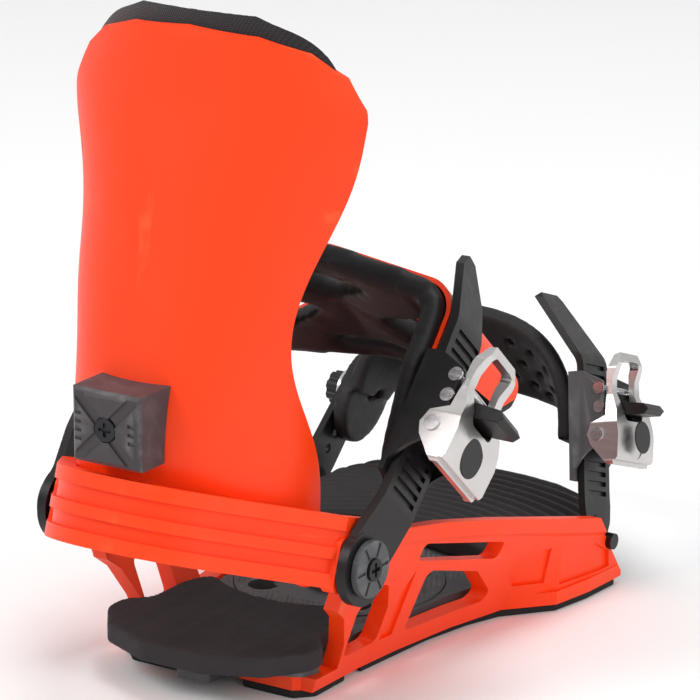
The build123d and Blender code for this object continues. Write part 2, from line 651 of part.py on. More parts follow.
def release_tab():
    """Spring-loaded lock pawl on its pin, in one piece with the finger tab."""
    outline = [(PIN_X - 8.6, LOCK_PIN_Y - 2.2), (PIN_X - 6.5, LOCK_PIN_Y - 4.2), (PIN_X + 1, LOCK_PIN_Y - 3.4),
               (PIN_X + 18, LOCK_PIN_Y - 3.6), (PIN_X + 20, LOCK_PIN_Y - 1.5), (PIN_X + 18, LOCK_PIN_Y + 1.0),
               (PIN_X + 3.4, LOCK_PIN_Y + 2.6), (PIN_X - 4, LOCK_PIN_Y + 3.2)]
    tab = prism_z(outline, -7.6, 7.6)
    return tab - rod_z(PIN_X, LOCK_PIN_Y, -30, 30, PIN_R + 0.04)


def coil(y, radius, z0, turns):
    """Torsion spring round a pin."""
    pitch = 1.0
    path = Pos(PIN_X, y, z0) * Helix(pitch=pitch, height=pitch * turns, radius=radius)
    return sweep(Plane(origin=path @ 0, z_dir=path % 0) * Circle(0.3), path=path)


def buckle_springs():
    return [coil(LEVER_PIN_Y, LEVER_PIN_R + 0.6, 8.8, 3), coil(LOCK_PIN_Y, PIN_R + 0.6, 8.8, 3)]


def ankle_buckle_place():
    front = arm_front()
    origin = front.from_local_coords(Vector(LADDER_X0, BUCKLE_START, 0))
    return Plane(origin=origin, x_dir=(1, 0, 0), z_dir=front.z_dir).location


def placed(place, factor, shapes):
    """Scale a buckle's pieces about their own origin and set them in place."""
    return [place * scale(shape, by=factor) for shape in shapes]


# ---------------------------------------------------------------- toe strap

def tilted_front(tilt):
    """Front view plane of a toe arm that leans towards the toe by a tilt."""
    lean = math.radians(tilt)
    return Plane(origin=(0, TOE_PIVOT[1], TOE_PIVOT[2]), x_dir=(1, 0, 0),
                 z_dir=(0, -math.cos(lean), math.sin(lean)))


def tilted_side(tilt):
    lean = math.radians(tilt)
    along = Vector(0, math.sin(lean), math.cos(lean))
    return Plane(origin=(0, TOE_PIVOT[1], TOE_PIVOT[2]), x_dir=along, z_dir=(1, 0, 0))


def toe_ladder_points():
    lean = math.radians(TOE_LEAN)
    curl = math.radians(TOE_LEAN + 36)
    foot = (TOE_PIVOT[0], -9)
    root = (TOE_PIVOT[0], 6)
    bend = (TOE_PIVOT[0] - 3, 17)
    upper = (bend[0] - 48 * math.sin(lean), bend[1] + 48 * math.cos(lean))
    tip = (upper[0] - 32 * math.sin(curl), upper[1] + 32 * math.cos(curl))
    return [foot, root, bend, upper, tip]


def toe_buckle_plane():
    """Buckle frame: origin on the inner face of the leaning ladder, x outwards, y up the ladder."""
    lean = math.radians(TOE_LEAN)
    front = tilted_front(TOE_TILT)
    bend = toe_ladder_points()[2]
    x = bend[0] - TOE_BUCKLE_START * math.sin(lean) - LADDER_THICK / 2 * math.cos(lean)
    t = bend[1] + TOE_BUCKLE_START * math.cos(lean) - LADDER_THICK / 2 * math.sin(lean)
    origin = front.from_local_coords(Vector(x, t, 0))
    outward = front.x_dir * math.cos(lean) + front.y_dir * math.sin(lean)
    return Plane(origin=origin, x_dir=outward, z_dir=front.z_dir)


def toe_ladder():
    front = tilted_front(TOE_TILT)
    strip = strip_section(toe_ladder_points(), LADDER_THICK * TOE_BUCKLE_SCALE, 9)
    blade = extrude(front * strip, 40, both=True)
    outline = [(-2, -8), (12, -10), (66, -TOE_LADDER_HALF), (84, -7.5), (89, -4), (90.5, 0), (89, 4), (84, 7.5),
               (66, TOE_LADDER_HALF), (12, 10), (-2, 8)]
    face = make_face(Polyline(*outline, close=True))
    blade = blade & (Pos(20, 0, 0) * extrude(tilted_side(TOE_TILT) * face, 80, dir=(1, 0, 0)))
    half = LADDER_THICK * TOE_BUCKLE_SCALE / 2
    ladder = blade + rod_x(TOE_PIVOT[0] - half, TOE_PIVOT[0] + half, TOE_PIVOT[1], TOE_PIVOT[2], TOE_EYE_R)
    place = toe_buckle_plane().location
    for step in range(14):
        along = -5 + TOOTH_PITCH * step
        ladder -= place * box(1.9, 6, along, along + 1.8, -7, 7)
    return ladder - rod_x(50, 80, TOE_PIVOT[1], TOE_PIVOT[2], 3.08)


def toe_far_arm():
    front = tilted_front(TOE_FAR_TILT)
    half = LADDER_THICK * TOE_BUCKLE_SCALE / 2
    blade = extrude(front * (Pos(-TOE_PIVOT[0], 24) * Rectangle(2 * half, 52)), 40, both=True)
    outline = [(-2, -8.5), (12, -9), (40, -8), (50, -4), (50, 4), (40, 8), (12, 9), (-2, 8.5)]
    face = make_face(Polyline(*outline, close=True))
    side = tilted_side(TOE_FAR_TILT)
    arm = blade & (Pos(-100, 0, 0) * extrude(side * face, 80, dir=(1, 0, 0)))
    arm += rod_x(-TOE_PIVOT[0] - half, -TOE_PIVOT[0] + half, TOE_PIVOT[1], TOE_PIVOT[2], TOE_EYE_R)
    for along in (14, 21, 28):
        arm -= side.location * Pos(along, 0, -60) * Cylinder(1.9, 30)
    slot = side.location * Pos(42, 0.6, -60) * Rot(0, 0, TOE_FAR_TILT - TOE_TILT) * Box(10, 4.2, 30)
    return arm - slot - rod_x(-80, -50, TOE_PIVOT[1], TOE_PIVOT[2], 3.08)


def toe_strap_centre(angle):
    """Middle of the toe strap, from the near end at 0 to the far end at pi."""
    across = math.copysign(abs(math.cos(angle)) ** 0.8, math.cos(angle))
    up = math.sin(angle) ** 0.8
    return Vector(-4.5 + 50.5 * across, 93 - 5 * across + 17 * up, 36 + 36 * up)


def toe_strap_plane(angle):
    """Plane square to the strap's run, level at the ends and steep over the crown."""
    centre = toe_strap_centre(angle)
    run = (toe_strap_centre(angle + 0.02) - toe_strap_centre(angle - 0.02)).normalized()
    up = math.sin(angle)
    wide = Vector(0, 0.95 - 0.6 * up, -0.35 - 0.6 * up)
    wide = (wide - run * wide.dot(run)).normalized()
    return Plane(origin=centre, x_dir=wide, z_dir=run)


def toe_strap_section(angle, width, thickness):
    return toe_strap_plane(angle) * RectangleRounded(width, thickness, thickness * 0.35)


def toe_strap_pad():
    sections = []
    count = 12
    for step in range(count + 1):
        angle = math.radians(12 + 156 * step / count)
        width = 24 + 12 * math.sin(angle) ** 2
        sections.append(toe_strap_section(angle, width, 6.5))
    band = loft(sections)
    for row, lift in enumerate((-8.0, 0.0, 8.0)):
        for step in range(9 - row % 2):
            angle = math.radians(42 + 12 * step + 6 * (row % 2))
            hole = toe_strap_plane(angle) * Rot(90, 0, 0) * Pos(lift, 0, 0) * Cylinder(1.8, 16)
            band -= hole
    return band + toe_end_oval() - toe_adjuster_axis() * Pos(0, 0, -55) * Cylinder(2.1, 16)


def toe_end_oval():
    """Oval padded end of the toe strap on the far side."""
    face = tilted_side(TOE_FAR_TILT) * (Pos(40, 0) * Ellipse(20, 14))
    return Pos(-60.5, 0, 0) * extrude(face, 6.0, dir=(1, 0, 0))


def toe_adjuster_axis():
    return tilted_side(TOE_FAR_TILT).location * Pos(41, 0, 0)


def toe_adjuster():
    """Knob and thin steel ring outside the far arm; the knob's stem runs in the arm's slot."""
    axis = toe_adjuster_axis()
    half = LADDER_THICK * TOE_BUCKLE_SCALE / 2
    outer = TOE_PIVOT[0] + half + GAP
    ring = axis * Pos(0, 0, -outer - 0.6) * Cylinder(8.0, 1.2)
    knob = axis * Pos(0, 0, -outer - 1.2 - 3.0) * Cylinder(6.5, 6.0)
    stem = axis * Pos(0, 0, -outer + 3.0) * Cylinder(1.9, 8.4)
    for step in range(8):
        angle = math.radians(45 * step)
        knob -= axis * Pos(7.6 * math.cos(angle), 7.6 * math.sin(angle), -outer - 4.5) * Cylinder(1.8, 9)
    return knob + stem, ring - stem


def toe_pivot_bolt():
    inner = TOE_PIVOT[0] - LADDER_THICK * TOE_BUCKLE_SCALE / 2 - GAP
    bolt = rod_x(inner - 2.4, inner, TOE_PIVOT[1], TOE_PIVOT[2], 5.0)
    bolt += rod_x(inner, 72.0, TOE_PIVOT[1], TOE_PIVOT[2], 3.0)
    return bolt - Pos(inner - 2.4, TOE_PIVOT[1], TOE_PIVOT[2]) * Box(2.4, 5.0, 1.0)


def toe_pivot_washer():
    half = LADDER_THICK * TOE_BUCKLE_SCALE / 2
    washer = rod_x(TOE_PIVOT[0] + half + GAP, 65.0, TOE_PIVOT[1], TOE_PIVOT[2], 7.0)
    return washer - rod_x(50, 80, TOE_PIVOT[1], TOE_PIVOT[2], 3.0)


# ---------------------------------------------------------------- output

def write(name, *shapes):
    solids = [solid for shape in shapes for solid in shape.solids()]
    shape = solids[0] if len(solids) == 1 else Compound(children=solids)
    export_step(shape, f"parts/{name}.step")


def write_buckle(prefix, place, factor):
    pieces = {
        "buckle_base": [buckle_base()],
        "buckle_pins": buckle_pins(),
        "lever_pin": [lever_pin()],
        "lever": [lever()],
        "lever_badge": [lever_badge()],
        "drive_pawl": [drive_pawl()],
        "release_tab": [release_tab()],
        "buckle_springs": buckle_springs(),
    }
    for name, shapes in pieces.items():
        write(f"{prefix}_{name}", *placed(place, factor, shapes))


def main():
    os.makedirs("parts", exist_ok=True)
    heel_cushions, side_cushions = ground_cushions()
    knob, ring = toe_adjuster()
    write("chassis", chassis())
    write("drive_plate", drive_plate())
    write("mounting_disc", mounting_disc())
    write("heel_cushions", *heel_cushions)
    write("side_cushions", *side_cushions)
    write("heel_pad", heel_pad())
    write("toe_pad", toe_pad())
    write("pivot_caps", *both_sides(pivot_cap()))
    write("pivot_bolts", *both_sides(pivot_bolt()))
    write("pivot_nuts", *both_sides(pivot_nut()))
    write("highback_shell", highback_shell())
    write("highback_pad", highback_pad())
    write("lean_block", lean_block())
    write("lean_screw", lean_screw())
    write("ankle_ladder", ankle_ladder())
    write("ankle_far_arm", ankle_far_arm())
    write("ankle_strap_pad", ankle_strap_pad())
    write("ankle_strap_overlay", ankle_strap_overlay())
    write("ankle_adjuster_screw", adjuster_screw())
    write("ankle_adjuster_nut", adjuster_nut())
    write_buckle("ankle", ankle_buckle_place(), 1.0)
    write("toe_ladder", toe_ladder())
    write("toe_far_arm", toe_far_arm())
    write("toe_strap_pad", toe_strap_pad())
    write("toe_adjuster_knob", knob)
    write("toe_adjuster_ring", ring)
    write("toe_pivot_bolts", *both_sides(toe_pivot_bolt()))
    write("toe_pivot_washers", *both_sides(toe_pivot_washer()))
    write_buckle("toe", toe_buckle_plane().location, TOE_BUCKLE_SCALE)


main()
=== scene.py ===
import json
import math

import bmesh
import bpy
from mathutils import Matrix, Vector
from mathutils.bvhtree import BVHTree


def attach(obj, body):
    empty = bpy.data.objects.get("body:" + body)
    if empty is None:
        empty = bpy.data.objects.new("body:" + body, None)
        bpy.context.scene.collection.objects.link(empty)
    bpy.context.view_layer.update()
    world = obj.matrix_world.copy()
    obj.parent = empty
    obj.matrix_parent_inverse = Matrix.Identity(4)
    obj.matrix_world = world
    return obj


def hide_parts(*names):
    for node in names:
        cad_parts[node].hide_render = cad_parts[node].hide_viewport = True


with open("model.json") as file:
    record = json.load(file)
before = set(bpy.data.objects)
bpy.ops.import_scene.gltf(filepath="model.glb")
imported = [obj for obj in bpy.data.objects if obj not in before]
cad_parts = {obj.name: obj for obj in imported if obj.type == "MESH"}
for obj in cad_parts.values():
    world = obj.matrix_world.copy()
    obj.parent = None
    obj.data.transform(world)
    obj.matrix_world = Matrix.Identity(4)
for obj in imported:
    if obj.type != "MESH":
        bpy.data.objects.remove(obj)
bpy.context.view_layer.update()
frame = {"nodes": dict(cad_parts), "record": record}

nodes = frame["nodes"]


# ---------------------------------------------------------------- material helpers

class Mat:
    """A procedural material: one Principled shader and small helpers for its textures."""

    def __init__(self, name):
        self.mat = bpy.data.materials.new(name)
        self.mat.use_nodes = True
        self.tree = self.mat.node_tree
        self.shader = self.tree.nodes["Principled BSDF"]
        self.coords = self.tree.nodes.new("ShaderNodeTexCoord").outputs["Object"]

    def add(self, kind, **values):
        node = self.tree.nodes.new(kind)
        for key, value in values.items():
            setattr(node, key, value)
        return node

    def link(self, source, target):
        self.tree.links.new(source, target)

    def stretch(self, scale, turn=(0, 0, 0)):
        mapping = self.add("ShaderNodeMapping")
        mapping.inputs["Scale"].default_value = scale
        mapping.inputs["Rotation"].default_value = turn
        self.link(self.coords, mapping.inputs["Vector"])
        return mapping.outputs["Vector"]

    def noise(self, scale, detail=3.0, vector=None):
        node = self.add("ShaderNodeTexNoise")
        node.inputs["Scale"].default_value = scale
        node.inputs["Detail"].default_value = detail
        self.link(vector or self.coords, node.inputs["Vector"])
        return node.outputs["Fac"]

    def cells(self, scale, vector=None):
        node = self.add("ShaderNodeTexVoronoi")
        node.inputs["Scale"].default_value = scale
        self.link(vector or self.coords, node.inputs["Vector"])
        return node.outputs["Distance"]

    def wave(self, scale, vector=None, direction="X"):
        node = self.add("ShaderNodeTexWave", wave_type="BANDS", bands_direction=direction)
        node.inputs["Scale"].default_value = scale
        self.link(vector or self.coords, node.inputs["Vector"])
        return node.outputs["Fac"]

    def spread(self, value, low, high, from_low=0.0, from_high=1.0):
        node = self.add("ShaderNodeMapRange")
        node.inputs["From Min"].default_value = from_low
        node.inputs["From Max"].default_value = from_high
        node.inputs["To Min"].default_value = low
        node.inputs["To Max"].default_value = high
        self.link(value, node.inputs["Value"])
        return node.outputs["Result"]

    def maths(self, operation, first, second):
        node = self.add("ShaderNodeMath", operation=operation)
        for socket, value in zip(node.inputs, (first, second)):
            if isinstance(value, (int, float)):
                socket.default_value = value
            else:
                self.link(value, socket)
        return node.outputs["Value"]

    def mix(self, factor, first, second):
        node = self.add("ShaderNodeMix", data_type="RGBA")
        sockets = [s for s in node.inputs if s.type == "RGBA"]
        for socket, value in zip(sockets, (first, second)):
            if isinstance(value, tuple):
                socket.default_value = value + (1.0,)
            else:
                self.link(value, socket)
        self.link(factor, node.inputs["Factor"])
        return [s for s in node.outputs if s.type == "RGBA"][0]

    def bump(self, height, strength, distance, under=None):
        node = self.add("ShaderNodeBump")
        node.inputs["Strength"].default_value = strength
        node.inputs["Distance"].default_value = distance
        self.link(height, node.inputs["Height"])
        if under is not None:
            self.link(under, node.inputs["Normal"])
        return node.outputs["Normal"]

    def edges(self, low, high):
        geometry = self.add("ShaderNodeNewGeometry")
        return self.spread(geometry.outputs["Pointiness"], 0.0, 1.0, low, high)

    def finish(self, colour=None, roughness=None, normal=None, **constants):
        if colour is not None:
            self.link(colour, self.shader.inputs["Base Color"])
        if roughness is not None:
            self.link(roughness, self.shader.inputs["Roughness"])
        if normal is not None:
            self.link(normal, self.shader.inputs["Normal"])
        for key, value in constants.items():
            self.shader.inputs[key.replace("_", " ")].default_value = value
        return self.mat


def shade(colour, factor):
    """A colour made darker or lighter."""
    return tuple(min(1.0, c * factor) for c in colour)


def moulded_plastic(name, colour, rough, worn, grain=0.00004, coat=0.0):
    """Satin moulded nylon: fine spark-eroded grain, faint flow mottling, paler rubbed edges."""
    m = Mat(name)
    mottled = m.mix(m.noise(70, 4), shade(colour, 0.95), shade(colour, 1.04))
    rubbed = m.maths("MULTIPLY", m.edges(0.53, 0.62), m.spread(m.noise(170, 4), 0.1, 0.8, 0.4, 0.7))
    tone = m.mix(rubbed, mottled, worn)
    dust = m.spread(m.noise(420, 5), rough - 0.05, rough + 0.08)
    fine = m.bump(m.noise(2600, 2), 0.35, grain)
    flow = m.bump(m.noise(90, 2), 0.12, 0.0004, fine)
    return m.finish(tone, dust, flow, Coat_Weight=coat, Coat_Roughness=0.25, Specular_IOR_Level=0.3)


def foam(name, colour, rough=0.78):
    """Closed-cell foam with small pores and scuffs."""
    m = Mat(name)
    tone = m.mix(m.noise(55, 5), shade(colour, 0.75), shade(colour, 1.3))
    scuffed = m.mix(m.maths("MULTIPLY", m.edges(0.52, 0.6), 0.35), tone, shade(colour, 2.2))
    pores = m.bump(m.cells(1500), 0.5, 0.00008)
    skin = m.bump(m.noise(240, 4), 0.3, 0.0002, pores)
    return m.finish(scuffed, m.spread(m.noise(320, 3), rough - 0.08, rough + 0.1), skin,
                    Specular_IOR_Level=0.35)


def mesh_fabric(name, colour, pitch=0.0011):
    """Knitted lining: two crossed sets of threads, a soft sheen and slight fading."""
    m = Mat(name)
    scale = 0.5 / pitch
    over = m.wave(scale, m.stretch((1, 1, 1), (0, 0, math.radians(45))), "X")
    under = m.wave(scale, m.stretch((1, 1, 1), (0, 0, 0)), "Z")
    threads = m.maths("MULTIPLY", over, under)
    faded = m.mix(m.noise(30, 4), shade(colour, 0.8), shade(colour, 1.25))
    tone = m.mix(m.spread(threads, 0.0, 0.75), shade(colour, 0.35), faded)
    weave = m.bump(threads, 0.7, 0.00025)
    return m.finish(tone, m.spread(m.noise(160, 3), 0.7, 0.9), weave, Sheen_Weight=0.35,
                    Sheen_Roughness=0.5, Specular_IOR_Level=0.3)


def bare_metal(name, colour, rough, brushed=(40, 40, 900), wear=0.25):
    """Cast or drawn metal: directional brushing, small nicks and cloudy roughness."""
    m = Mat(name)
    lines = m.noise(1.0, 3, m.stretch(brushed))
    cloud = m.noise(65, 4)
    tone = m.mix(cloud, shade(colour, 0.9), shade(colour, 1.04))
    nicks = m.mix(m.spread(m.cells(260), 0.0, wear, 0.14, 0.02), tone, shade(colour, 0.6))
    brushing = m.bump(lines, 0.18, 0.00006)
    cast = m.bump(m.noise(1300, 3), 0.25, 0.00004, brushing)
    return m.finish(nicks, m.spread(lines, rough - 0.07, rough + 0.12), cast, Metallic=1.0)


ORANGE = (1.0, 0.05, 0.002)
BLACK = (0.007, 0.0065, 0.007)
finishes = {
    "orange_nylon": moulded_plastic("orange_nylon", ORANGE, 0.42, (0.95, 0.12, 0.03), coat=0.06),
    "grey_nylon": moulded_plastic("grey_nylon", (0.08, 0.083, 0.088), 0.5, (0.2, 0.2, 0.2), 0.00008),
    "black_nylon": moulded_plastic("black_nylon", BLACK, 0.36, (0.035, 0.035, 0.036)),
    "eva_foam": foam("eva_foam", (0.012, 0.012, 0.013)),
    "footbed_foam": foam("footbed_foam", (0.022, 0.019, 0.021), 0.7),
    "strap_padding": foam("strap_padding", (0.009, 0.008, 0.009), 0.55),
    "gunmetal_plastic": moulded_plastic("gunmetal_plastic", (0.05, 0.043, 0.047), 0.42, (0.16, 0.15, 0.155)),
    "black_steel": bare_metal("black_steel", (0.04, 0.04, 0.043), 0.36),
    "silver_aluminium": bare_metal("silver_aluminium", (0.66, 0.64, 0.63), 0.3),
    "bright_steel": bare_metal("bright_steel", (0.72, 0.72, 0.74), 0.22),
}
lining = mesh_fabric("mesh_lining", (0.03, 0.029, 0.033))
slot_of = {part["node"]: part["material_slot"] for part in frame["record"]["subparts"]}
body_of = {}
for body, members in frame["record"]["behaviour"]["bodies"].items():
    for member in members:
        body_of[member] = body

for node, material_slot in slot_of.items():
    nodes[node].data.materials.clear()
    nodes[node].data.materials.append(finishes[material_slot])


# ---------------------------------------------------------------- piece helpers

def mesh_object(name, verts, faces, material, smooth=True):
    """A new object from vertices in metres and the faces between them."""
    data = bpy.data.meshes.new(name)
    data.from_pydata([tuple(v) for v in verts], [], faces)
    data.update()
    for polygon in data.polygons:
        polygon.use_smooth = smooth
    made = bpy.data.objects.new(name, data)
    bpy.context.scene.collection.objects.link(made)
    data.materials.append(material)
    return made


def copy_of(node, name):
    """A free mesh copy of a CAD node, with its split vertices merged."""
    data = nodes[node].data.copy()
    data.name = name
    made = bpy.data.objects.new(name, data)
    bpy.context.scene.collection.objects.link(made)
    work = bmesh.new()
    work.from_mesh(data)
    bmesh.ops.remove_doubles(work, verts=work.verts, dist=0.000002)
    work.to_mesh(data)
    work.free()
    return made


def apply_modifiers(piece):
    """Make what the modifiers show the piece's own mesh."""
    bpy.context.view_layer.update()
    graph = bpy.context.evaluated_depsgraph_get()
    fresh = bpy.data.meshes.new_from_object(piece.evaluated_get(graph))
    piece.modifiers.clear()
    piece.data = fresh


def remesh(piece, voxel):
    modifier = piece.modifiers.new("remesh", "REMESH")
    modifier.mode = "VOXEL"
    modifier.voxel_size = voxel
    apply_modifiers(piece)


def smooth(piece, times, factor=0.5):
    modifier = piece.modifiers.new("smooth", "SMOOTH")
    modifier.iterations = times
    modifier.factor = factor
    apply_modifiers(piece)


def subdivide(piece, levels=1):
    modifier = piece.modifiers.new("subdivide", "SUBSURF")
    modifier.levels = levels
    modifier.render_levels = levels
    apply_modifiers(piece)


def rounded(node, width, segments=2, angle=28.0):
    """The CAD node with small rounded edges that catch the light, as moulding and casting leave them."""
    piece = copy_of(node, node + "_rounded")
    work = bmesh.new()
    work.from_mesh(piece.data)
    bmesh.ops.dissolve_limit(work, angle_limit=math.radians(1.0), verts=work.verts, edges=work.edges)
    work.to_mesh(piece.data)
    work.free()
    bevel = piece.modifiers.new("bevel", "BEVEL")
    bevel.width = width
    bevel.segments = segments
    bevel.limit_method = "ANGLE"
    bevel.angle_limit = math.radians(angle)
    bevel.use_clamp_overlap = True
    weighted = piece.modifiers.new("normals", "WEIGHTED_NORMAL")
    weighted.keep_sharp = True
    for polygon in piece.data.polygons:
        polygon.use_smooth = True
    piece.data.set_sharp_from_angle(angle=math.radians(angle + 8))
    apply_modifiers(piece)
    settle(piece, node)


def settle(piece, node, material=None):
    """Give a piece its finish and body, and let it stand for its CAD node."""
    piece.data.materials.clear()
    piece.data.materials.append(material or finishes[slot_of[node]])
    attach(piece, body_of[node])
    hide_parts(node)


def all_smooth(piece):
    """Shade every face of a soft piece smoothly."""
    for polygon in piece.data.polygons:
        polygon.use_smooth = True


def move_points(piece, shift):
    """Move each vertex by what shift(position, normal) returns."""
    moved = [shift(v.co.copy(), v.normal.copy()) for v in piece.data.vertices]
    for vertex, offset in zip(piece.data.vertices, moved):
        vertex.co += offset
    piece.data.update()


CLOTH_FRAMES = 20


def puff(piece, pressure, cap):
    """Swell a padded piece with a short cloth simulation, and hold each point within the cap."""
    start = [v.co.copy() for v in piece.data.vertices]
    cloth = piece.modifiers.new("cloth", "CLOTH")
    cloth.settings.quality = 6
    cloth.settings.mass = 0.2
    cloth.settings.use_pressure = True
    cloth.settings.uniform_pressure_force = pressure
    cloth.settings.effector_weights.gravity = 0.0
    cloth.point_cache.frame_start = 1
    cloth.point_cache.frame_end = CLOTH_FRAMES
    scene = bpy.context.scene
    for number in range(1, CLOTH_FRAMES + 1):
        scene.frame_set(number)
    apply_modifiers(piece)
    for vertex, co in zip(piece.data.vertices, start):
        step = vertex.co - co
        if step.length > cap:
            vertex.co = co + step * (cap / step.length)
    piece.data.update()
    scene.frame_set(1)


def ramp(value, low, high):
    """A smooth step from 0 at the low value to 1 at the high one."""
    t = min(1.0, max(0.0, (value - low) / (high - low)))
    return t * t * (3 - 2 * t)


# ---------------------------------------------------------------- hard pieces

# width of each piece's rounded edges, in metres
BEVELS = {
    "chassis": 0.0007, "drive_plate": 0.0006, "mounting_disc": 0.0004, "pivot_caps": 0.0003,
    "pivot_bolts": 0.0002, "lean_block": 0.0007, "lean_screw": 0.0002, "ankle_ladder": 0.0005,
    "ankle_far_arm": 0.0006, "toe_ladder": 0.0004, "toe_far_arm": 0.0005, "ankle_buckle_base": 0.0004,
    "toe_buckle_base": 0.0004, "ankle_lever": 0.0008, "toe_lever": 0.0007, "ankle_release_tab": 0.0006,
    "toe_release_tab": 0.0005, "ankle_drive_pawl": 0.0003, "toe_drive_pawl": 0.0003,
    "toe_adjuster_knob": 0.0005, "ankle_strap_overlay": 0.0005, "highback_shell": 0.0008,
    "ankle_lever_badge": 0.0002, "toe_lever_badge": 0.0002, "heel_cushions": 0.0006,
    "side_cushions": 0.0006,
}
for node, width in BEVELS.items():
    rounded(node, width)


# ---------------------------------------------------------------- footbed

# metres: the depth and the spacing of the two treads
TOE_DEPTH, TOE_PITCH = 0.0011, 0.0052
HEEL_DEPTH, HEEL_PITCH = 0.0005, 0.0021


def toe_tread(co, normal):
    """Concentric ribs about the disc's centre, cut into the top of the toe pad."""
    radius = math.hypot(co.x, co.y)
    phase = (radius % TOE_PITCH) / TOE_PITCH
    groove = ramp(abs(phase - 0.5), 0.12, 0.30)
    return Vector((0, 0, -TOE_DEPTH * (1.0 - groove) * ramp(normal.z, 0.5, 0.9)))


def heel_tread(co, normal):
    """Fine wavy grain that runs across the heel pad."""
    wander = 0.0012 * math.sin(co.x * 190) + 0.0007 * math.sin(co.x * 437 + 1.3)
    phase = ((co.y + wander + co.x * co.x * 3.5) % HEEL_PITCH) / HEEL_PITCH
    groove = ramp(abs(phase - 0.5), 0.1, 0.3)
    return Vector((0, 0, -HEEL_DEPTH * (1.0 - groove) * ramp(normal.z, 0.5, 0.9)))


def footbed(node, voxel, tread):
    """A foam pad with its tread cut into the top, on a mesh fine enough to show it."""
    piece = copy_of(node, node + "_tread")
    remesh(piece, voxel)
    smooth(piece, 2)
    move_points(piece, tread)
    all_smooth(piece)
    settle(piece, node)


footbed("toe_pad", 0.0009, toe_tread)
footbed("heel_pad", 0.0007, heel_tread)


# ---------------------------------------------------------------- padding

# height and half-width of the padding's outline, in mm
PAD_OUTLINE = [(97, 20), (100, 27), (106, 33), (118, 37), (134, 40), (170, 47.0), (198, 52.5), (211, 51.0),
               (223, 45.5), (233, 35.5), (239, 21)]


def between(table, z):
    """Smooth values at a height, from a table whose first column is the height."""
    z = min(max(z, table[0][0]), table[-1][0])
    k = next(i for i in range(len(table) - 1) if z <= table[i + 1][0])
    p = [table[max(0, k - 1)], table[k], table[k + 1], table[min(len(table) - 1, k + 2)]]
    t = (z - p[1][0]) / (p[2][0] - p[1][0])
    values = []
    for c in range(1, len(table[0])):
        m1 = (p[2][c] - p[0][c]) / (p[2][0] - p[0][0]) * (p[2][0] - p[1][0])
        m2 = (p[3][c] - p[1][c]) / (p[3][0] - p[1][0]) * (p[2][0] - p[1][0])
        values.append((2 * t ** 3 - 3 * t ** 2 + 1) * p[1][c] + (t ** 3 - 2 * t ** 2 + t) * m1
                      + (3 * t ** 2 - 2 * t ** 3) * p[2][c] + (t ** 3 - t ** 2) * m2)
    return values


# millimetres: the padding's thickness, middle height, rolled edge and channels, and its seam's place
PAD_FULL = 4.6
PAD_MIDDLE = 168.0
PAD_ROLL = 3.2
PAD_CHANNELS = (140, 196)
SEAM_INSET = 8
SEAM_LEVEL = PAD_FULL - 2.6

pad_mesh = nodes["highback_pad"].data
pad_tree = BVHTree.FromPolygons([v.co.copy() for v in pad_mesh.vertices],
                                [list(p.vertices) for p in pad_mesh.polygons])


def pad_point(z, across, thickness):
    """A point over the back of the padding, square to its face, from a height and a distance across in mm."""
    inward = 1 if z < PAD_MIDDLE else -1
    for shift in (0.0, 0.8, 2.0, 4.0, 7.0):
        for share in (1.0, 0.985, 0.97, 0.95, 0.93, 0.9, 0.85, 0.8):
            start = Vector((across * share, 100.0, z + shift * inward)) / 1000
            hit, normal, _, _ = pad_tree.ray_cast(start, Vector((0, -1, 0)))
            if hit is not None and abs(normal.y) > 0.25:
                face = normal if normal.y > 0 else -normal
                beside = Vector((across * (1 - share), 0, -shift * inward)) / 1000
                beside -= face * beside.dot(face)
                return hit + beside - face * ((PAD_FULL - thickness) / 1000)
    raise ValueError(f"no padding at {across:.1f}, {z:.1f}")


def grid_faces(rows, columns, flip, start=0):
    """Four-sided faces between the points of a grid, counted on from its first vertex."""
    faces = []
    for r in range(rows - 1):
        for c in range(columns - 1):
            a = start + r * columns + c
            quad = (a, a + 1, a + columns + 1, a + columns)
            faces.append(quad[::-1] if flip else quad)
    return faces


def pad_profile(edge, across, z):
    """Thickness of the padding: rolled border, sewn groove, crowned middle with two channels, in mm."""
    full = PAD_FULL - 0.6
    roll = math.sqrt(max(0.0, 1 - (1 - min(1.0, edge / PAD_ROLL)) ** 2))
    seam = 2.2 * math.exp(-((edge - SEAM_INSET) / 1.1) ** 2)
    crown = 0.6 * ramp(edge, SEAM_INSET, SEAM_INSET * 3)
    bow = 0.004 * across * across
    channels = sum(1.7 * math.exp(-((z - level + bow) / 1.6) ** 2) for level in PAD_CHANNELS)
    spine = 1.2 * math.exp(-(across / 1.6) ** 2)
    return full * roll + crown - seam - (channels + spine) * ramp(edge, 7, 11)


def highback_lining():
    """Foam pad with a knitted lining, a rolled border, sewn channels and a stitched seam."""
    rows, columns = 110, 71
    low, high = PAD_OUTLINE[0][0] + 0.5, PAD_OUTLINE[-1][0] - 0.3
    front, back = [], []
    for r in range(rows):
        up = 0.5 - 0.5 * math.cos(math.pi * r / (rows - 1))
        z = low + (high - low) * up
        reach = between(PAD_OUTLINE, z)[0]
        for c in range(columns):
            side = -math.cos(math.pi * c / (columns - 1))
            across = reach * side
            edge = min(reach * (1 - abs(side)), z - low, high - z)
            front.append(pad_point(z, across, max(0.0, pad_profile(edge, across, z))))
            back.append(pad_point(z, across, 0.0))
    faces = grid_faces(rows, columns, True) + grid_faces(rows, columns, False, rows * columns)
    piece = mesh_object("highback_padding", front + back, faces, lining)
    work = bmesh.new()
    work.from_mesh(piece.data)
    bmesh.ops.remove_doubles(work, verts=work.verts, dist=0.00003)
    bmesh.ops.recalc_face_normals(work, faces=work.faces)
    work.to_mesh(piece.data)
    work.free()
    all_smooth(piece)
    settle(piece, "highback_pad", lining)


